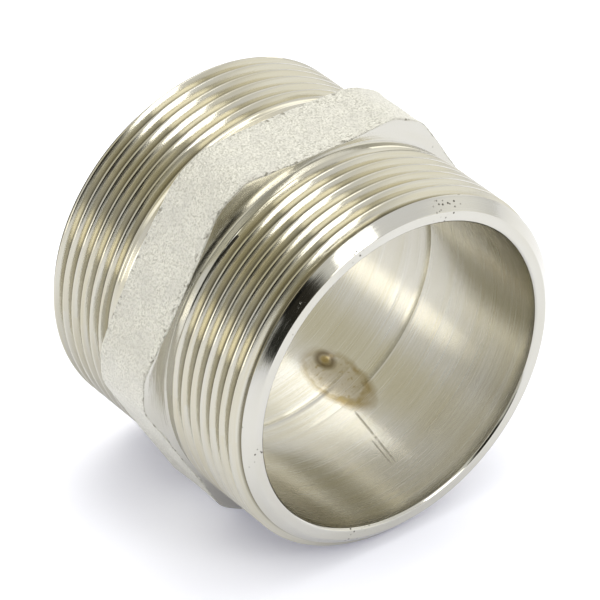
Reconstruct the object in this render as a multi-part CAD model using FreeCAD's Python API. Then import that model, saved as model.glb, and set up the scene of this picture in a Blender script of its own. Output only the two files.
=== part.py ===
"""Hex nipple, G 2 male x G 2 male, nickel-plated brass, lying on one flat of its hexagon.

Units are millimetres. The bore axis is X, +Z is up, and the origin is on the bore axis at mid-length.
The hexagon has one flat facing straight down and one straight up. The body is one solid: a threaded
barrel on each side of a central hexagon, bored right through.
"""
import FreeCAD
import Part
import math
import os

V = FreeCAD.Vector

# ---- driving dimensions -------------------------------------------------------------------------
OVERALL_LENGTH = 49.5
BORE_DIAMETER = 51.2
BORE_EDGE_BREAK = 0.3

# G 2 pipe thread: 55 degree Whitworth form, 11 threads per inch, parallel, right hand
THREAD_MAJOR_DIAMETER = 59.614
THREAD_PITCH = 2.309
THREAD_DEPTH = 1.4785
THREAD_ROOT_RADIUS = 0.317
THREAD_HALF_ANGLE = 27.5

# lead-in chamfer at each free end
END_FACE_DIAMETER = 54.8
END_CHAMFER_LENGTH = 2.2

# hexagon, forged, with both of its end faces turned to a shallow cone
HEX_ACROSS_FLATS = 60.4
HEX_CORNER_DIAMETER = 66.3
HEX_CORNER_LENGTH = 10.6
SHOULDER_DISTANCE = 5.95

# plain land between the shoulder and the thread, and the small groove in the shoulder's corner
LAND_DIAMETER = 59.2
LAND_END = 7.7
CORNER_GROOVE_WIDTH = 0.5
CORNER_GROOVE_DEPTH = 0.35

# the thread groove rises out of the barrel over this part of a turn, and ends over the land
RUNOUT_TURNS = 0.6
RUNOUT_END = 7.6

# how far a cutter stands clear of the metal that it removes
CLEARANCE = 0.25
SEGMENTS_PER_TURN = 3
POINTS_PER_SEGMENT = 12

# ---- derived dimensions -------------------------------------------------------------------------
half_length = OVERALL_LENGTH / 2
major_radius = THREAD_MAJOR_DIAMETER / 2
bore_radius = BORE_DIAMETER / 2
land_radius = LAND_DIAMETER / 2
corner_radius = HEX_CORNER_DIAMETER / 2
hex_half_length = HEX_CORNER_LENGTH / 2
tan_flank = math.tan(math.radians(THREAD_HALF_ANGLE))
sin_flank = math.sin(math.radians(THREAD_HALF_ANGLE))
cos_flank = math.cos(math.radians(THREAD_HALF_ANGLE))


def revolved(profile):
    """Solid of revolution about X from a closed list of (x, radius) points."""
    points = [V(x, 0, r) for x, r in profile]
    face = Part.Face(Part.makePolygon(points + [points[0]]))
    return face.revolve(V(0, 0, 0), V(1, 0, 0), 360)


def turned_blank():
    """Outside of the turned piece, with no hexagon and no thread yet."""
    groove_floor = land_radius - CORNER_GROOVE_DEPTH
    side = [
        (half_length, END_FACE_DIAMETER / 2),
        (half_length - END_CHAMFER_LENGTH, major_radius),
        (LAND_END + major_radius - land_radius, major_radius),
        (LAND_END, land_radius),
        (SHOULDER_DISTANCE + CORNER_GROOVE_WIDTH, land_radius),
        (SHOULDER_DISTANCE + CORNER_GROOVE_WIDTH / 2, groove_floor),
        (SHOULDER_DISTANCE, land_radius + CORNER_GROOVE_DEPTH),
        (hex_half_length, corner_radius),
    ]
    mirrored = [(-x, r) for x, r in reversed(side)]
    return revolved([(half_length, 0)] + side + mirrored + [(-half_length, 0)])


def hexagon_envelope():
    """Hexagonal prism over the whole length that trims only what stands outside the flats."""
    circumradius = HEX_ACROSS_FLATS / 2 / math.cos(math.radians(30))
    corners = []
    for i in range(6):
        angle = math.radians(60 * i)
        corners.append(V(-half_length, circumradius * math.cos(angle), circumradius * math.sin(angle)))
    prism_face = Part.Face(Part.makePolygon(corners + [corners[0]]))
    return prism_face.extrude(V(OVERALL_LENGTH, 0, 0))


def bore_cutter():
    """Through bore with a small edge break at both mouths."""
    mouth = bore_radius + BORE_EDGE_BREAK + CLEARANCE
    profile = [
        (half_length + CLEARANCE, 0),
        (half_length + CLEARANCE, mouth),
        (half_length - BORE_EDGE_BREAK, bore_radius),
        (BORE_EDGE_BREAK - half_length, bore_radius),
        (-half_length - CLEARANCE, mouth),
        (-half_length - CLEARANCE, 0),
    ]
    return revolved(profile)


def groove_section(x):
    """Closed wire of the thread groove in the XZ plane, with a round root, centred on x."""
    root = major_radius - THREAD_DEPTH
    arc_centre = root + THREAD_ROOT_RADIUS
    tangent_half_width = THREAD_ROOT_RADIUS * cos_flank
    tangent_height = arc_centre - THREAD_ROOT_RADIUS * sin_flank
    top = major_radius + CLEARANCE
    top_half_width = tangent_half_width + (top - tangent_height) * tan_flank
    left_top = V(x - top_half_width, 0, top)
    right_top = V(x + top_half_width, 0, top)
    left_tangent = V(x - tangent_half_width, 0, tangent_height)
    right_tangent = V(x + tangent_half_width, 0, tangent_height)
    edges = [
        Part.LineSegment(left_top, left_tangent).toShape(),
        Part.Arc(left_tangent, V(x, 0, root), right_tangent).toShape(),
        Part.LineSegment(right_tangent, right_top).toShape(),
        Part.LineSegment(right_top, left_top).toShape(),
    ]
    return Part.Wire(edges)


def helix_spine(start_x):
    """Helix about X from start_x back to the land, in short joined edges, widening over its last part turn."""
    turns = (start_x - RUNOUT_END) / THREAD_PITCH
    rise = THREAD_DEPTH + 2 * CLEARANCE
    segments = math.ceil(turns * SEGMENTS_PER_TURN)
    count = segments * POINTS_PER_SEGMENT
    points = []
    for i in range(count + 1):
        turn = turns * i / count
        fade = max(0.0, (turn - turns + RUNOUT_TURNS) / RUNOUT_TURNS)
        radius = major_radius + rise * fade ** 2
        angle = 2 * math.pi * turn
        points.append(V(start_x - THREAD_PITCH * turn, radius * math.sin(angle), radius * math.cos(angle)))
    curve = Part.BSplineCurve()
    curve.interpolate(points)
    first = curve.FirstParameter
    step = (curve.LastParameter - first) / segments
    return Part.Wire([curve.toShape(first + step * k, first + step * (k + 1)) for k in range(segments)])


def thread_cutter():
    """Right-hand helical groove from beyond the +X end to the land, where it rises out of the metal."""
    start_x = half_length + THREAD_PITCH
    sweep = Part.BRepOffsetAPI.MakePipeShell(helix_spine(start_x))
    sweep.setBiNormalMode(V(1, 0, 0))
    sweep.add(groove_section(start_x), False, False)
    sweep.build()
    sweep.makeSolid()
    return sweep.shape()


def nipple_body():
    """The whole fitting."""
    body = turned_blank().common(hexagon_envelope()).cut(bore_cutter())
    thread = thread_cutter()
    opposite_thread = thread.copy()
    opposite_thread.rotate(V(0, 0, 0), V(0, 1, 0), 180)
    return body.cut(thread).cut(opposite_thread).Solids[0]


def main():
    os.makedirs("parts", exist_ok=True)
    body = nipple_body()
    body.exportStep("parts/nipple_body.step")
    box = body.BoundBox
    print("valid", body.isValid(), "volume mm3", round(body.Volume, 1), "faces", len(body.Faces))
    print("x", box.XMin, box.XMax, "y", box.YMin, box.YMax, "z", box.ZMin, box.ZMax)


main()
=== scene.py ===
"""Hex nipple G 2 x G 2, nickel-plated brass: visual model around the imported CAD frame. Metres, +Z up."""
import bpy
import math
import numpy as np
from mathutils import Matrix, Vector


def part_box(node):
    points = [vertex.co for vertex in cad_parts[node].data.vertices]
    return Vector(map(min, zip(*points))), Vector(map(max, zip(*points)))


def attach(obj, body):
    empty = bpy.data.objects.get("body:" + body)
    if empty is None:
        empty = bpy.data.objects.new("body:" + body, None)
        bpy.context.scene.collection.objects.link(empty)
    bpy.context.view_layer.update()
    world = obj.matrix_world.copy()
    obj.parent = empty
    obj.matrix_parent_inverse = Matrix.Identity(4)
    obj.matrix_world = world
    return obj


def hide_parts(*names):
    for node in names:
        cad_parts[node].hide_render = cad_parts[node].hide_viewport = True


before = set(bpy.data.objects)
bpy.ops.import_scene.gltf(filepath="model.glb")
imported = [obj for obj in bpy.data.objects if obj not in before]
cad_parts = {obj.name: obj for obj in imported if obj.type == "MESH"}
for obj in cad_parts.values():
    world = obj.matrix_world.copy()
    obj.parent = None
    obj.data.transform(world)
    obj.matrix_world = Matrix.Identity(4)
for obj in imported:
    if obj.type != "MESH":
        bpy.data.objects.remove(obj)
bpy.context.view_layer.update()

NODE = "nipple_body"
MM = 0.001

# ---- sizes in millimetres: the outer box is the frame's, the thread is the standard's --------------
node_low, node_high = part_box(NODE)
HALF_LENGTH = node_high[0] / MM
CORNER_RADIUS = node_high[1] / MM
FLAT_RADIUS = node_high[2] / MM

PITCH = 2.309
MAJOR_RADIUS = 29.807
THREAD_DEPTH = 1.4785
ROOT_ARC = 0.317
FLANK = math.radians(27.5)
CREST_SOFTNESS = 0.2

BORE_RADIUS = 25.6
BORE_EDGE_BREAK = 0.3
FACE_RADIUS = 27.4
CHAMFER_LENGTH = 2.2
EDGE_ROUND = 0.1
# a surface less than this far below the plain chamfer cone counts as not cut by the thread
UNCUT_DEPTH = 0.06

LAND_RADIUS = 29.6
LAND_END = 7.7
RUNOUT_END = 7.6
RUNOUT_TURNS = 0.6
RUNOUT_RISE = 1.98

SHOULDER_X = 5.95
SHOULDER_RADIUS = 29.95
HEX_CORNER_X = 5.3
CORNER_GROOVE_X = 6.2
CORNER_GROOVE_DEPTH = 0.35
CORNER_GROOVE_WIDTH = 0.5
FORGED_EDGE_SOFTNESS = 0.8

# uneven bevel on the hexagon's edges: least size, what wear adds, the largest share of the edge's height
# that it takes, and how far its middle is set in from the sharp corner, as a share of its size
BEVEL_LEAST = 0.12
BEVEL_WEAR = 0.22
BEVEL_SHARE = 0.45
BEVEL_DROP = 0.18
# gentle waves that sink the forged flats a little
WAVES = 5
WAVE_DEPTH = 0.02
CONE_ROWS = 4
FLAT_ROWS = 7

# faint rings that the boring tool left
WITNESS_X = (-0.4, -5.0)
WITNESS_HALF_WIDTH = 0.1
WITNESS_LEAST_DEPTH = 0.01
WITNESS_EXTRA_DEPTH = 0.025
WITNESS_FADE = 3.0

# crusted bead in the bore, with a lower tail beside it
BEAD_X = -9.7
BEAD_ANGLE = math.radians(-61)
BEAD_LENGTH = 1.0
BEAD_WIDTH = 0.75
BEAD_HEIGHT = 0.38
TAIL_SHIFT_X = 1.7
TAIL_SHIFT_ACROSS = 0.5
TAIL_LENGTH = 1.3
TAIL_WIDTH = 0.6
TAIL_HEIGHT = 0.12

# patch of pits on one chamfer
PITTED_X = 23.8
PITTED_ANGLE = math.radians(72)

# edges between faces that meet at more than this stay sharp
SHARP_ANGLE = math.radians(42)

# mesh regions, which are also the material indices
THREAD, FACED, FORGED, BORE = range(4)


def smooth_min(a, b, softness):
    """The lower of two heights, with their meeting edge rounded over. It is never above either."""
    near = np.clip(softness - np.abs(a - b), 0, None) / softness
    return np.minimum(a, b) - near * near * softness / 4


def column_angles():
    """Angles of the mesh columns: the same in each sixth of a turn, closer together at the flats' edges."""
    sector_degrees = 60
    half_sector = sector_degrees / 2
    edge = math.degrees(math.acos(FLAT_RADIUS / CORNER_RADIUS))
    dense_reach = 2.5
    dense_low = edge - dense_reach
    dense_high = edge + dense_reach
    flat_columns, edge_columns, corner_columns = 16, 9, 3
    half = np.concatenate([
        np.linspace(0, dense_low, flat_columns)[:-1],
        np.linspace(dense_low, dense_high, edge_columns)[:-1],
        np.linspace(dense_high, half_sector, corner_columns),
    ])
    sector = np.concatenate([-half[:0:-1], half])[:-1] + half_sector
    return np.radians(np.concatenate([sector + sector_degrees * k for k in range(6)]))


ANGLES = column_angles()
COLUMNS = len(ANGLES)


def hex_radius(angle):
    """Radius of the forged hexagon: flats, and corners turned round, with soft edges between them."""
    off_centre = np.mod(angle, math.pi / 3) - math.pi / 6
    return smooth_min(FLAT_RADIUS / np.cos(off_centre), CORNER_RADIUS, FORGED_EDGE_SOFTNESS)


def barrel_radius(x):
    """Radius of the turned barrel before its thread is cut: land, step, full diameter and lead-in chamfer."""
    step = LAND_RADIUS + np.clip(x - LAND_END, 0, MAJOR_RADIUS - LAND_RADIUS)
    slope = (MAJOR_RADIUS - FACE_RADIUS) / CHAMFER_LENGTH
    return np.minimum(step, FACE_RADIUS + (HALF_LENGTH - x) * slope)


def groove_radius(distance):
    """Radius of the thread groove's wall at an axial distance from the groove's middle."""
    d = np.abs(distance)
    tangent = ROOT_ARC * math.cos(FLANK)
    floor = MAJOR_RADIUS - THREAD_DEPTH
    arc = ROOT_ARC - np.sqrt(np.clip(ROOT_ARC ** 2 - np.minimum(d, tangent) ** 2, 0, None))
    return floor + arc + np.clip(d - tangent, 0, None) / math.tan(FLANK)


def thread_surface(x, angle):
    """Radius of the threaded barrel. The groove starts past the end face and rises out over the land."""
    start = HALF_LENGTH + PITCH
    end_turn = (start - RUNOUT_END) / PITCH
    around = (math.pi / 2 - angle) / (2 * math.pi)
    turn = (start - x) / PITCH - around
    result = barrel_radius(x)
    for step in (0, 1):
        nearest = np.floor(turn) + step
        progress = nearest + around
        fade = np.clip((progress - end_turn + RUNOUT_TURNS) / RUNOUT_TURNS, 0, None)
        lift = RUNOUT_RISE * fade ** 2
        wall = groove_radius((turn - nearest) * PITCH) + lift
        result = smooth_min(wall, result, CREST_SOFTNESS)
    return result


def pitch_samples():
    """Axial offsets of the mesh rows inside one pitch, measured from a crest, closest at crest and root."""
    arc = ROOT_ARC * math.cos(FLANK)
    crest_side = np.array([0.15, 0.24, 0.32])
    crest = np.concatenate([-crest_side[::-1], [0.0], crest_side])
    root = np.array([-arc, -arc / 2, 0.0, arc / 2, arc]) + PITCH / 2
    flank_middle = (crest[-1] + root[0]) / 2
    return np.concatenate([crest, [flank_middle], root, [PITCH - flank_middle]])


class Shell:
    """Vertices and faces of the closed skin, gathered region by region. Places are in millimetres."""

    def __init__(self):
        self.points = []
        self.faces = []
        self.regions = []

    def add(self, x, radius, angle):
        self.points.append((x * MM, radius * math.cos(angle) * MM, radius * math.sin(angle) * MM))
        return len(self.points) - 1

    def face(self, corners, region):
        """One face, wound outwards. Corners that fall together are merged, and a mere edge is dropped."""
        kept = [c for i, c in enumerate(corners) if c != corners[i - 1]]
        if len(kept) >= 3:
            self.faces.append(kept[::-1])
            self.regions.append(region)

    def strip(self, rings, regions):
        """Quads between successive rings of vertices that each go once round the axis."""
        for ring, following, region in zip(rings, rings[1:], regions):
            for i in range(COLUMNS):
                j = (i + 1) % COLUMNS
                self.face([ring[i], ring[j], following[j], following[i]], region)


def threaded_barrel(shell, mirrored):
    """One threaded end, from the land out to the rim. Its rows follow the helix. Returns its two end rings.
    The mirrored end is the same mesh turned half round about Y."""
    samples = pitch_samples()
    per_turn = len(samples)
    low = SHOULDER_X + CORNER_GROOVE_WIDTH + EDGE_ROUND
    high = HALF_LENGTH - EDGE_ROUND
    crest_at_zero = HALF_LENGTH - PITCH / 4
    # rows start and end outside the barrel, so that the helix covers it at every angle
    turns_down = math.ceil((crest_at_zero - low) / PITCH) + 2
    turns = turns_down + 3
    base = crest_at_zero - turns_down * PITCH
    rows = np.concatenate([base + k * PITCH + samples for k in range(turns)])
    count = len(rows)
    grid_angle = np.broadcast_to(ANGLES[None, :], (count, COLUMNS))
    x = np.clip(rows[:, None] + PITCH * grid_angle / (2 * math.pi), low, high)
    x = sharpen_crossings(x, grid_angle, low, high)
    radius = thread_surface(x, grid_angle)

    side = -1 if mirrored else 1
    ring_low = [shell.add(side * low, radius_at(low, a), side * a) for a in ANGLES]
    ring_high = [shell.add(side * high, radius_at(high, a), side * a) for a in ANGLES]
    index = np.empty((count, COLUMNS), dtype=int)
    tolerance = 1e-9
    for j in range(count):
        for i in range(COLUMNS):
            if x[j, i] <= low + tolerance:
                index[j, i] = ring_low[i]
            elif x[j, i] >= high - tolerance:
                index[j, i] = ring_high[i]
            else:
                index[j, i] = shell.add(side * x[j, i], radius[j, i], side * ANGLES[i])
    chamfer_start = HALF_LENGTH - CHAMFER_LENGTH
    uncut = (barrel_radius(x) - radius) < UNCUT_DEPTH
    for j in range(count - 1):
        for i in range(COLUMNS):
            if i + 1 < COLUMNS:
                right = index[j, i + 1]
                right_next = index[j + 1, i + 1]
            else:
                right = index[min(j + per_turn, count - 1), 0]
                right_next = index[min(j + 1 + per_turn, count - 1), 0]
            middle = (x[j, i] + x[j + 1, i]) / 2
            on_cone = middle > chamfer_start and uncut[j, i] and uncut[j + 1, i]
            region = FACED if on_cone else THREAD
            shell.face([index[j, i], index[j + 1, i], right_next, right], region)
    if mirrored:
        ring_low = [ring_low[-i % COLUMNS] for i in range(COLUMNS)]
        ring_high = [ring_high[-i % COLUMNS] for i in range(COLUMNS)]
    return ring_low, ring_high


def radius_at(x, angle):
    """Radius of the threaded barrel at one place."""
    return float(thread_surface(np.array([x]), np.array([angle]))[0])


def sharpen_crossings(x, angle, low, high):
    """Moves rows a little along the axis so that one lies on each line where the chamfer cuts the thread."""
    moved = x.copy()
    slope = (MAJOR_RADIUS - FACE_RADIUS) / CHAMFER_LENGTH
    cone = FACE_RADIUS + (HALF_LENGTH - x) * slope
    around = (math.pi / 2 - angle) / (2 * math.pi)
    turn = (HALF_LENGTH + PITCH - x) / PITCH - around
    groove = groove_radius((turn - np.round(turn)) * PITCH)
    gap = np.minimum(groove, MAJOR_RADIUS) - cone
    never_zero = 1e-12
    for j in range(x.shape[0] - 1):
        crossing = (gap[j] * gap[j + 1] < 0) & (x[j] > HALF_LENGTH - 2 * CHAMFER_LENGTH)
        share = np.where(crossing, gap[j] / (gap[j] - gap[j + 1] + never_zero), 0)
        target = x[j] + share * (x[j + 1] - x[j])
        inside = (x[j] > low) & (x[j + 1] < high)
        first = crossing & inside & (share < 0.5)
        second = crossing & inside & (share >= 0.5)
        moved[j] = np.where(first, target, moved[j])
        moved[j + 1] = np.where(second, target, moved[j + 1])
    return moved


def edge_wear(angle):
    """Uneven wear round the forged hexagon's edges, from 0 to 1."""
    return 0.5 + 0.5 * math.sin(23 * angle + 2.0 * math.sin(7 * angle))


def hexagon_rings(shell, ring_plus, ring_minus):
    """Rings across the middle, from one land over the shoulder cones and forged flats to the other land."""
    rng = np.random.default_rng(7)
    # each wave: its rate along the axis, its rate across the flat, and its phase
    waves = [(rng.uniform(0.5, 1.4), rng.uniform(-0.3, 0.3), rng.uniform(0, 6.28)) for _ in range(WAVES)]
    groove_edge = SHOULDER_X + CORNER_GROOVE_WIDTH
    groove_floor = LAND_RADIUS - CORNER_GROOVE_DEPTH
    groove_side = 0.06
    cone_slope = (SHOULDER_X - HEX_CORNER_X) / (CORNER_RADIUS - SHOULDER_RADIUS)

    def column(angle):
        """One column of (axial place, radius, region), from the land over the shoulder to mid-length."""
        outline = float(hex_radius(np.array(angle)))
        edge_x = SHOULDER_X - (outline - SHOULDER_RADIUS) * cone_slope
        bevel = min(BEVEL_LEAST + BEVEL_WEAR * edge_wear(angle), BEVEL_SHARE * (outline - SHOULDER_RADIUS))
        # land, small rounded groove in the corner, and the start of the shoulder
        half = [
            (groove_edge, LAND_RADIUS - 0.02, FACED),
            (groove_edge - 0.05, LAND_RADIUS - 0.09, FACED),
            (CORNER_GROOVE_X + groove_side, groove_floor + 0.04, FACED),
            (CORNER_GROOVE_X, groove_floor, FACED),
            (CORNER_GROOVE_X - groove_side, groove_floor + 0.05, FACED),
            (SHOULDER_X + 0.03, SHOULDER_RADIUS - 0.12, FACED),
            (SHOULDER_X, SHOULDER_RADIUS, FACED),
        ]
        for k in range(1, CONE_ROWS + 1):
            radius = SHOULDER_RADIUS + k / CONE_ROWS * (outline - bevel - SHOULDER_RADIUS)
            half.append((SHOULDER_X - (radius - SHOULDER_RADIUS) * cone_slope, radius, FACED))
        half.append((edge_x - bevel * BEVEL_DROP, outline - bevel * BEVEL_DROP, FORGED))
        half.append((edge_x - bevel, outline, FORGED))
        across = outline * math.sin(angle)
        along = outline * math.cos(angle)
        for k in range(1, FLAT_ROWS + 1):
            x = (edge_x - bevel) * (1 - k / FLAT_ROWS)
            swell = sum(math.sin(a * x + b * across + 0.4 * b * along + c) for a, b, c in waves)
            sink = WAVE_DEPTH * (swell - WAVES)
            settled = math.sin(math.pi / 2 * min(1, k / 2))
            half.append((x, outline + sink * settled, FORGED))
        return half

    columns = [column(a) for a in ANGLES]
    rings = [ring_plus]
    regions = []
    rows = len(columns[0])

    def add_ring(row, side):
        points = [points_of_column[row] for points_of_column in columns]
        rings.append([shell.add(side * x, radius, a) for (x, radius, _), a in zip(points, ANGLES)])

    for row in range(rows):
        add_ring(row, 1)
        regions.append(columns[0][row][2])
    for row in reversed(range(rows - 1)):
        add_ring(row, -1)
        regions.append(columns[0][row + 1][2])
    rings.append(ring_minus)
    regions.append(FACED)
    return rings, regions


def inside_radius(x, angle):
    """Radius of the bore, with its tool witness rings, and with the bead and its tail standing in from it."""
    across = math.remainder(angle - BEAD_ANGLE, 2 * math.pi) * BORE_RADIUS
    lean = math.tanh(across / WITNESS_FADE)
    radius = BORE_RADIUS
    # each ring is deeper to one side of the bead, the first to one side and the second to the other
    for witness, side in zip(WITNESS_X, (1, -1)):
        if abs(x - witness) < WITNESS_HALF_WIDTH:
            radius += WITNESS_LEAST_DEPTH + WITNESS_EXTRA_DEPTH * (1 + side * lean)
    along = x - BEAD_X
    bead = math.exp(-(along / BEAD_LENGTH) ** 2 - (across / BEAD_WIDTH) ** 2)
    tail_along = (along - TAIL_SHIFT_X) / TAIL_LENGTH
    tail_across = (across - TAIL_SHIFT_ACROSS) / TAIL_WIDTH
    tail = math.exp(-tail_along ** 2 - tail_across ** 2)
    return radius - BEAD_HEIGHT * bead - TAIL_HEIGHT * tail


def bore_stations(start):
    """Axial places of the rings inside the bore, closer together at the witness rings and at the bead."""
    even_spaces = 24
    witness_offsets = (-0.22, -0.07, 0.07, 0.22)
    bead_reach = 2.6
    bead_spacing = 0.52
    least_spacing = 0.12
    stations = list(np.linspace(start, -start, even_spaces + 1)[1:-1])
    for witness in WITNESS_X:
        stations += [witness + offset for offset in witness_offsets]
    stations += list(np.arange(BEAD_X - bead_reach, BEAD_X + bead_reach + 0.1, bead_spacing))
    stations = sorted(set(np.round(stations, 3)), reverse=True)
    kept = [stations[0]]
    for station in stations[1:]:
        if kept[-1] - station > least_spacing:
            kept.append(station)
    return kept


def bore_rings(shell, ring_plus, ring_minus):
    """Rings over one rim, through the bore and over the other rim."""
    mouth = BORE_RADIUS + BORE_EDGE_BREAK
    # axial place, radius and region: both edges of the rim are rounded by a few hundredths
    rim = [
        (HALF_LENGTH - 0.03, FACE_RADIUS + 0.03, FACED),
        (HALF_LENGTH, FACE_RADIUS - 0.08, FACED),
        (HALF_LENGTH, FACE_RADIUS - 0.4, FACED),
        (HALF_LENGTH, mouth + 0.35, FACED),
        (HALF_LENGTH, mouth + 0.05, FACED),
        (HALF_LENGTH - 0.04, mouth - 0.03, FACED),
        (HALF_LENGTH - BORE_EDGE_BREAK + 0.03, BORE_RADIUS + 0.04, FACED),
        (HALF_LENGTH - BORE_EDGE_BREAK - 0.06, BORE_RADIUS, BORE),
    ]
    rings = [ring_plus]
    regions = []
    for x, radius, region in rim:
        rings.append([shell.add(x, radius, a) for a in ANGLES])
        regions.append(region)
    for x in bore_stations(rim[-1][0]):
        rings.append([shell.add(x, inside_radius(x, a), a) for a in ANGLES])
        regions.append(BORE)
    regions.append(BORE)
    for x, radius, region in reversed(rim):
        rings.append([shell.add(-x, radius, a) for a in ANGLES])
        regions.append(FACED)
    rings.append(ring_minus)
    return rings, regions


def build_body():
    """The whole nickel-plated skin as one closed mesh."""
    shell = Shell()
    plus_low, plus_high = threaded_barrel(shell, False)
    minus_low, minus_high = threaded_barrel(shell, True)
    rings, regions = hexagon_rings(shell, plus_low, minus_low)
    shell.strip(rings, regions)
    rings, regions = bore_rings(shell, plus_high, minus_high)
    shell.strip([ring[::-1] for ring in rings], regions)
    mesh = bpy.data.meshes.new("nipple_skin")
    mesh.from_pydata(shell.points, [], shell.faces)
    mesh.polygons.foreach_set("material_index", shell.regions)
    mesh.validate(clean_customdata=False)
    mesh.shade_smooth()
    mesh.set_sharp_from_angle(angle=SHARP_ANGLE)
    body = bpy.data.objects.new("nipple_skin", mesh)
    bpy.context.scene.collection.objects.link(body)
    return body


# ---- materials -------------------------------------------------------------------------------------
class Nodes:
    """A small helper that adds and links shader nodes in one material."""

    def __init__(self, name):
        self.material = bpy.data.materials.new(name)
        self.material.use_nodes = True
        self.tree = self.material.node_tree
        self.shader = self.tree.nodes["Principled BSDF"]

    def add(self, kind, inputs=None, **settings):
        node = self.tree.nodes.new(kind)
        for key, value in settings.items():
            setattr(node, key, value)
        for key, value in (inputs or {}).items():
            self.put(node.inputs[key], value)
        return node

    def put(self, socket, value):
        if isinstance(value, bpy.types.NodeSocket):
            self.tree.links.new(value, socket)
        else:
            socket.default_value = value

    def math(self, operation, a, b=0.0):
        return self.add("ShaderNodeMath", {0: a, 1: b}, operation=operation).outputs[0]

    def times(self, a, b):
        return self.math("MULTIPLY", a, b)

    def distance(self, a, b):
        """Length of the pair (a, b)."""
        return self.math("SQRT", self.math("ADD", self.times(a, a), self.times(b, b)))

    def largest(self, first, *others):
        """The largest of two or more values."""
        for other in others:
            first = self.math("MAXIMUM", first, other)
        return first

    def position(self):
        """Place on the object in millimetres."""
        coordinates = self.add("ShaderNodeTexCoord").outputs["Object"]
        parts = self.add("ShaderNodeSeparateXYZ", {0: coordinates}).outputs
        scale = 1 / MM
        return [self.times(part, scale) for part in parts]

    def polar(self):
        """Axial place, radius (both mm) and angle (radians) about the bore axis."""
        x, y, z = self.position()
        return x, self.distance(y, z), self.math("ARCTAN2", z, y)

    def vector(self, x, y, z):
        return self.add("ShaderNodeCombineXYZ", {0: x, 1: y, 2: z}).outputs[0]

    def noise(self, vector, scale, detail=3.0, roughness=0.55):
        inputs = {"Vector": vector, "Scale": scale, "Detail": detail, "Roughness": roughness}
        return self.add("ShaderNodeTexNoise", inputs).outputs["Fac"]

    def cells(self, vector, scale, feature):
        """Distance to the middle of the nearest cell."""
        inputs = {"Vector": vector, "Scale": scale}
        return self.add("ShaderNodeTexVoronoi", inputs, feature=feature).outputs["Distance"]

    def tool_lines(self, x, radius, angle, closeness, scale):
        """Fine lines round the bore axis: noise stretched along the turn."""
        place = self.vector(self.times(x, closeness), self.times(radius, closeness), angle)
        return self.noise(place, scale, detail=4.0)

    def remap(self, value, low, high, out_low, out_high):
        """Takes low..high to out_low..out_high in a straight line, and holds the ends beyond."""
        inputs = {0: value, 1: low, 2: high, 3: out_low, 4: out_high}
        return self.add("ShaderNodeMapRange", inputs, clamp=True).outputs[0]

    def mix(self, factor, first, second):
        node = self.add("ShaderNodeMix", data_type="RGBA")
        self.put(node.inputs[0], factor)
        self.put(node.inputs[6], first)
        self.put(node.inputs[7], second)
        return node.outputs[2]

    def bump(self, height, strength, distance):
        inputs = {"Height": height, "Strength": strength, "Distance": distance}
        return self.add("ShaderNodeBump", inputs).outputs[0]

    def metal(self, colour, roughness, relief):
        """Bare metal with this colour, roughness and relief."""
        self.put(self.shader.inputs["Base Color"], colour)
        self.put(self.shader.inputs["Roughness"], roughness)
        self.put(self.shader.inputs["Metallic"], 1.0)
        self.put(self.shader.inputs["Normal"], relief)

    def turned(self, amount):
        """Tool marks run round the bore axis, so reflections smear across them."""
        self.put(self.shader.inputs["Anisotropic"], amount)
        self.put(self.shader.inputs["Anisotropic Rotation"], 0.25)
        tangent = self.add("ShaderNodeTangent", direction_type="RADIAL", axis="X").outputs[0]
        self.put(self.shader.inputs["Tangent"], tangent)


NICKEL = (0.51, 0.495, 0.43, 1)
NICKEL_PALE = (0.535, 0.525, 0.48, 1)
NICKEL_WARM = (0.48, 0.45, 0.345, 1)
NICKEL_BORED = (0.46, 0.435, 0.345, 1)
# dark colour of the painted shade in the thread roots, also the colour of the real scratch in the bore
NICKEL_PAINTED_SHADE_AND_SCRATCH = (0.16, 0.145, 0.10, 1)
FORGED_DARK = (0.44, 0.43, 0.37, 1)
FORGED_LIGHT = (0.69, 0.68, 0.615, 1)
FORGED_SCALE = (0.24, 0.225, 0.175, 1)
STAIN = (0.26, 0.20, 0.085, 1)
CRUST = (0.09, 0.06, 0.02, 1)
PIT = (0.045, 0.035, 0.025, 1)

# stain in the bore, an ellipse placed from the bead, and the crust over the bead itself, in millimetres
STAIN_ALONG = 4.6
STAIN_ACROSS = -1.2
STAIN_HALF_LENGTH = 7.6
STAIN_HALF_WIDTH = 3.1
CRUST_HALF_LENGTH = 1.9
CRUST_HALF_WIDTH = 1.1

# scratch in the bore: its slope, its place across at the bead, and the gap to its shorter double
SCRATCH_SLOPE = -0.18
SCRATCH_ACROSS = -1.6
SCRATCH_GAP = 0.75


def turned_thread_material():
    """Bright plate over a single-pointed thread: fine tool lines, warmer patches, and painted shade darkening
    the roots.
    """
    n = Nodes("nickel_thread")
    x, radius, angle = n.polar()
    lines = n.tool_lines(x, radius, angle, closeness=6.0, scale=2.2)
    patches = n.noise(n.vector(n.times(x, 0.2), angle, radius), scale=1.6, detail=2.0)
    base = n.mix(n.remap(patches, 0.35, 0.75, 0, 1), NICKEL, NICKEL_WARM)
    # painted shade: the colour darkens towards the floor of each groove, where shade falls
    painted_shade_below = MAJOR_RADIUS - THREAD_DEPTH + 0.1
    clear_above = MAJOR_RADIUS - 0.62 * THREAD_DEPTH
    root = n.remap(radius, painted_shade_below, clear_above, 1, 0)
    colour = n.mix(root, base, NICKEL_PAINTED_SHADE_AND_SCRATCH)
    n.metal(colour, n.remap(lines, 0.3, 0.7, 0.07, 0.16), n.bump(lines, strength=0.25, distance=0.00004))
    n.turned(0.4)
    return n.material


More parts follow.
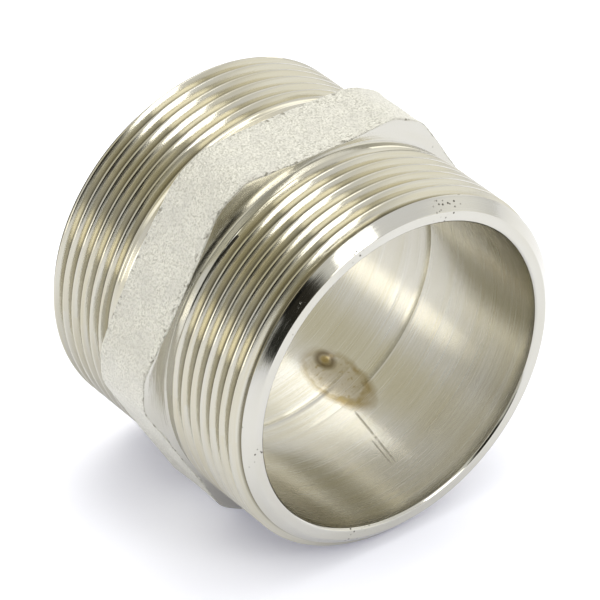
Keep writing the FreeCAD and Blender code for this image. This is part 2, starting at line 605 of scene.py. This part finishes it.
def pits(n, x, radius, angle):
    """Small dark pits, close together in one patch of a chamfer and rare elsewhere."""
    mm_per_radian = 27.0
    spots = n.cells(n.vector(x, n.times(angle, mm_per_radian), radius), scale=1.3, feature="F1")
    rare = n.noise(n.vector(n.times(x, 0.3), n.times(angle, 3.0), 4.0), scale=1.0, detail=1.0)
    arc = n.times(n.math("SUBTRACT", angle, PITTED_ANGLE), FACE_RADIUS)
    away = n.distance(arc, n.math("SUBTRACT", x, PITTED_X))
    pitted = n.largest(n.remap(away, 1.5, 3.5, 1, 0), n.remap(rare, 0.64, 0.68, 0, 1))
    return n.times(n.remap(spots, 0.16, 0.26, 1, 0), pitted)


def faced_material():
    """Turned end faces, chamfers, lands and shoulder cones: concentric lines, and a few dark pits."""
    n = Nodes("nickel_faced")
    x, radius, angle = n.polar()
    lines = n.tool_lines(x, radius, angle, closeness=5.0, scale=1.6)
    cloud = n.noise(n.vector(x, radius, n.times(angle, 6.0)), scale=0.35)
    base = n.mix(n.remap(cloud, 0.3, 0.8, 0, 1), NICKEL_PALE, NICKEL)
    pit = pits(n, x, radius, angle)
    height = n.math("SUBTRACT", lines, n.times(pit, 3.0))
    relief = n.bump(height, strength=0.22, distance=0.00005)
    n.metal(n.mix(pit, base, PIT), n.remap(lines, 0.3, 0.7, 0.06, 0.15), relief)
    n.turned(0.4)
    return n.material


def forged_material():
    """Blasted forging skin under matt plate: fine grain, soft mottling, and dark dents along its edges."""
    n = Nodes("nickel_blasted")
    x, y, z = n.position()
    place = n.vector(x, y, z)
    grain = n.noise(place, scale=3.3, detail=2.5, roughness=0.6)
    mottle = n.noise(place, scale=0.3, detail=4.0)
    cells = n.cells(place, scale=1.9, feature="SMOOTH_F1")
    base = n.mix(n.remap(grain, 0.34, 0.58, 0, 1), FORGED_DARK, FORGED_LIGHT)
    tinted = n.mix(n.remap(mottle, 0.4, 0.65, 0, 0.45), base, NICKEL_PALE)
    rim = n.remap(n.math("ABSOLUTE", x), 4.6, HEX_CORNER_X, 0, 1)
    dents = n.times(rim, n.remap(n.noise(place, scale=1.3), 0.57, 0.66, 0, 0.8))
    colour = n.mix(dents, tinted, FORGED_SCALE)
    height = n.math("SUBTRACT", n.math("ADD", grain, n.times(cells, 0.6)), dents)
    n.metal(colour, n.remap(grain, 0.3, 0.7, 0.42, 0.62), n.bump(height, strength=0.9, distance=0.00035))
    return n.material


def stain_in_bore(n, wobble, flecks, along, across):
    """Tide mark by the bead: an uneven, broken ring, a thin film inside it, and flecks."""
    from_centre = n.math("DIVIDE", n.math("SUBTRACT", along, STAIN_ALONG), STAIN_HALF_LENGTH)
    beside_centre = n.math("DIVIDE", n.math("SUBTRACT", across, STAIN_ACROSS), STAIN_HALF_WIDTH)
    uneven = n.times(n.math("SUBTRACT", wobble, 0.5), 0.5)
    reach = n.math("ADD", n.distance(from_centre, beside_centre), uneven)
    inner = n.remap(along, 3.0, 11.0, 0.74, 0.45)
    inside = n.remap(reach, inner, n.math("ADD", inner, 0.25), 0, 1)
    ring = n.times(inside, n.remap(reach, 1.0, 1.25, 1, 0))
    strength = n.times(n.remap(wobble, 0.35, 0.6, 0.5, 0.95), n.remap(along, -3.0, 9.0, 0.65, 1.0))
    film = n.remap(reach, 0.75, 1.25, 0.46, 0)
    fleck = n.times(n.remap(flecks, 0.56, 0.66, 0, 0.8), n.remap(reach, 0.7, 1.0, 1, 0))
    return n.largest(n.times(ring, strength), film, fleck)


def scratch_in_bore(n, flecks, along, across):
    """A slanting broken scratch, with a second one beside its last part."""
    place = n.math("SUBTRACT", across, n.times(along, SCRATCH_SLOPE))
    offset = n.math("SUBTRACT", place, SCRATCH_ACROSS)
    first = n.remap(n.math("ABSOLUTE", offset), 0.06, 0.22, 1, 0)
    second = n.remap(n.math("ABSOLUTE", n.math("ADD", offset, SCRATCH_GAP)), 0.06, 0.2, 1, 0)
    second = n.times(second, n.remap(along, 18.0, 19.5, 0, 1))
    window = n.times(n.remap(along, 11.5, 12.5, 0, 1), n.remap(along, 23.5, 25.0, 1, 0))
    broken = n.remap(flecks, 0.38, 0.5, 0.3, 1.0)
    return n.times(n.largest(first, second), n.times(window, broken))


def bore_material():
    """Satin bored surface: rings round the axis, a tide-mark stain with its crusted bead, and a scratch."""
    n = Nodes("nickel_bore")
    x, _, angle = n.polar()
    slow_angle = n.times(angle, 0.7)
    rings = n.noise(n.vector(n.times(x, 2.6), slow_angle, 0.0), scale=1.4, detail=6.0, roughness=0.75)
    bands = n.noise(n.vector(n.times(x, 0.35), slow_angle, 3.0), scale=1.0, detail=2.0)
    round_bore = n.times(angle, BORE_RADIUS)
    wobble = n.noise(n.vector(x, round_bore, 0.0), scale=0.35)
    flecks = n.noise(n.vector(x, round_bore, 8.0), scale=1.3)

    along = n.math("SUBTRACT", x, BEAD_X)
    across = n.times(n.math("SUBTRACT", angle, BEAD_ANGLE), BORE_RADIUS)
    core_along = n.math("DIVIDE", along, CRUST_HALF_LENGTH)
    core = n.distance(core_along, n.math("DIVIDE", across, CRUST_HALF_WIDTH))
    stain = n.largest(stain_in_bore(n, wobble, flecks, along, across), n.remap(core, 0.35, 1.2, 1, 0))
    crust = n.times(n.remap(core, 0.4, 0.8, 0, 1), n.remap(core, 0.9, 1.5, 0.75, 0))
    scratch = scratch_in_bore(n, flecks, along, across)

    tone = n.math("ADD", n.times(bands, 0.5), n.times(rings, 0.9))
    colour = n.mix(n.remap(tone, 0.5, 0.92, 0, 1), NICKEL_BORED, NICKEL_PALE)
    colour = n.mix(n.times(scratch, 0.7), colour, NICKEL_PAINTED_SHADE_AND_SCRATCH)
    colour = n.mix(stain, colour, STAIN)
    colour = n.mix(crust, colour, CRUST)
    height = n.math("SUBTRACT", rings, n.times(scratch, 1.5))
    n.metal(colour, n.remap(rings, 0.3, 0.7, 0.18, 0.30), n.bump(height, strength=0.14, distance=0.00006))
    n.turned(0.5)
    return n.material


# ---- studio ----------------------------------------------------------------------------------------
# distances here are in metres and angles in degrees
VIEW_AZIMUTH = 52.4
VIEW_ELEVATION = 35.6
VIEW_DISTANCE = 0.731
LENS_MM = 291.4
SENSOR_MM = 36

FLOOR_SIZE = 6.0
FLOOR_GAP = 0.00002
FLOOR_WHITE = (0.965, 0.975, 1.0, 1)
FLOOR_GLOW = (0.58, 0.60, 1.0, 1)

LAMP_DISTANCE = 0.6
LAMP_COLOUR = (1, 0.99, 0.96)
# name, azimuth, elevation, width, height and power
LAMPS = [
    ("key_left", -110, 64, 0.31, 0.31, 0.75),
    ("key_right", 98, 33, 0.2, 0.3, 0.8),
]

TENT = (1.04, 1.04, 1.05, 1)
# parts of the tent that are darker or brighter: azimuth, elevation, inner and outer angle, and colour
TENT_PATCHES = [
    (40, 25, 15, 60, (0.88, 0.88, 0.84, 1)),
    (-8, 56, 12, 29, (2.0, 1.98, 1.92, 1)),
    (-135, 50, 8, 22, (1.45, 1.43, 1.37, 1)),
    (-46, 44, 8, 24, (0.84, 0.80, 0.62, 1)),
    (98, 8, 12, 20, (0.45, 0.43, 0.33, 1)),
    (143, 5, 10, 26, (1.42, 1.41, 1.36, 1)),
    (-168, 34, 12, 32, (2.2, 2.18, 2.1, 1)),
    (69, 21, 12, 17, (0.05, 0.045, 0.035, 1)),
    (54, 34, 9, 15, (0.01, 0.01, 0.008, 1)),
    (57, 10, 8, 14, (0.02, 0.02, 0.015, 1)),
    (-27, 5, 7, 16, (3.7, 3.6, 3.35, 1)),
]


def direction(azimuth_degrees, elevation_degrees):
    """Unit vector from the object outwards. Azimuth 0 is -Y, growing towards +X."""
    azimuth = math.radians(azimuth_degrees)
    elevation = math.radians(elevation_degrees)
    flat = math.cos(elevation)
    return Vector((flat * math.sin(azimuth), -flat * math.cos(azimuth), math.sin(elevation)))


def add_camera():
    camera_data = bpy.data.cameras.new("view")
    camera_data.lens = LENS_MM
    camera_data.sensor_width = SENSOR_MM
    camera_data.clip_start = 0.01
    camera = bpy.data.objects.new("view", camera_data)
    towards = direction(VIEW_AZIMUTH, VIEW_ELEVATION)
    camera.location = towards * VIEW_DISTANCE
    camera.rotation_euler = (-towards).to_track_quat("-Z", "Y").to_euler()
    bpy.context.scene.collection.objects.link(camera)
    bpy.context.scene.camera = camera


def add_floor():
    mesh = bpy.data.meshes.new("floor")
    half = FLOOR_SIZE / 2
    level = node_low[2] - FLOOR_GAP
    corners = [(-half, -half, level), (half, -half, level), (half, half, level), (-half, half, level)]
    mesh.from_pydata(corners, [], [(0, 1, 2, 3)])
    floor = bpy.data.objects.new("floor", mesh)
    bpy.context.scene.collection.objects.link(floor)
    n = Nodes("floor_white")
    n.put(n.shader.inputs["Base Color"], FLOOR_WHITE)
    n.put(n.shader.inputs["Roughness"], 0.55)
    n.put(n.shader.inputs["Specular IOR Level"], 0.15)
    n.put(n.shader.inputs["Emission Color"], FLOOR_GLOW)
    n.put(n.shader.inputs["Emission Strength"], 0.13)
    mesh.materials.append(n.material)


def add_lamp(name, azimuth, elevation, width, height, power):
    """Rectangular lamp that shines at the object."""
    towards = direction(azimuth, elevation)
    data = bpy.data.lights.new(name, "AREA")
    data.shape = "RECTANGLE"
    data.size = width
    data.size_y = height
    data.energy = power
    data.color = LAMP_COLOUR
    light = bpy.data.objects.new(name, data)
    light.location = towards * LAMP_DISTANCE
    light.rotation_euler = (-towards).to_track_quat("-Z", "Y").to_euler()
    bpy.context.scene.collection.objects.link(light)


def add_world():
    """White tent with darker and brighter patches. The camera itself sees plain white behind the floor."""
    world = bpy.data.worlds.new("studio")
    bpy.context.scene.world = world
    world.use_nodes = True
    tree = world.node_tree

    def node(kind, inputs, **settings):
        made = tree.nodes.new(kind)
        for key, value in settings.items():
            setattr(made, key, value)
        for key, value in inputs.items():
            if isinstance(value, bpy.types.NodeSocket):
                tree.links.new(value, made.inputs[key])
            else:
                made.inputs[key].default_value = value
        return made

    ray = node("ShaderNodeTexCoord", {}).outputs["Generated"]

    def patch(towards, inner, outer):
        """1 within the inner angle of a direction, falling smoothly to 0 at the outer angle, in degrees."""
        dot = node("ShaderNodeVectorMath", {0: ray, 1: towards}, operation="DOT_PRODUCT").outputs["Value"]
        low = math.cos(math.radians(outer))
        high = math.cos(math.radians(inner))
        inputs = {0: dot, 1: low, 2: high, 3: 0, 4: 1}
        return node("ShaderNodeMapRange", inputs, interpolation_type="SMOOTHSTEP").outputs[0]

    def blend(factor, first, second):
        return node("ShaderNodeMix", {0: factor, 6: first, 7: second}, data_type="RGBA").outputs[2]

    shade = TENT
    for azimuth, elevation, inner, outer, colour in TENT_PATCHES:
        shade = blend(patch(direction(azimuth, elevation), inner, outer), shade, colour)
    seen = node("ShaderNodeLightPath", {}).outputs["Is Camera Ray"]
    shade = blend(seen, shade, (1, 1, 1, 1))
    background = tree.nodes["Background"]
    tree.links.new(shade, background.inputs["Color"])
    background.inputs["Strength"].default_value = 1.0


body = build_body()
for make in (turned_thread_material, faced_material, forged_material, bore_material):
    body.data.materials.append(make())
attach(body, "root")
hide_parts(NODE)

add_camera()
add_floor()
add_world()
for lamp in LAMPS:
    add_lamp(*lamp)
bpy.context.scene.view_settings.view_transform = "Standard"
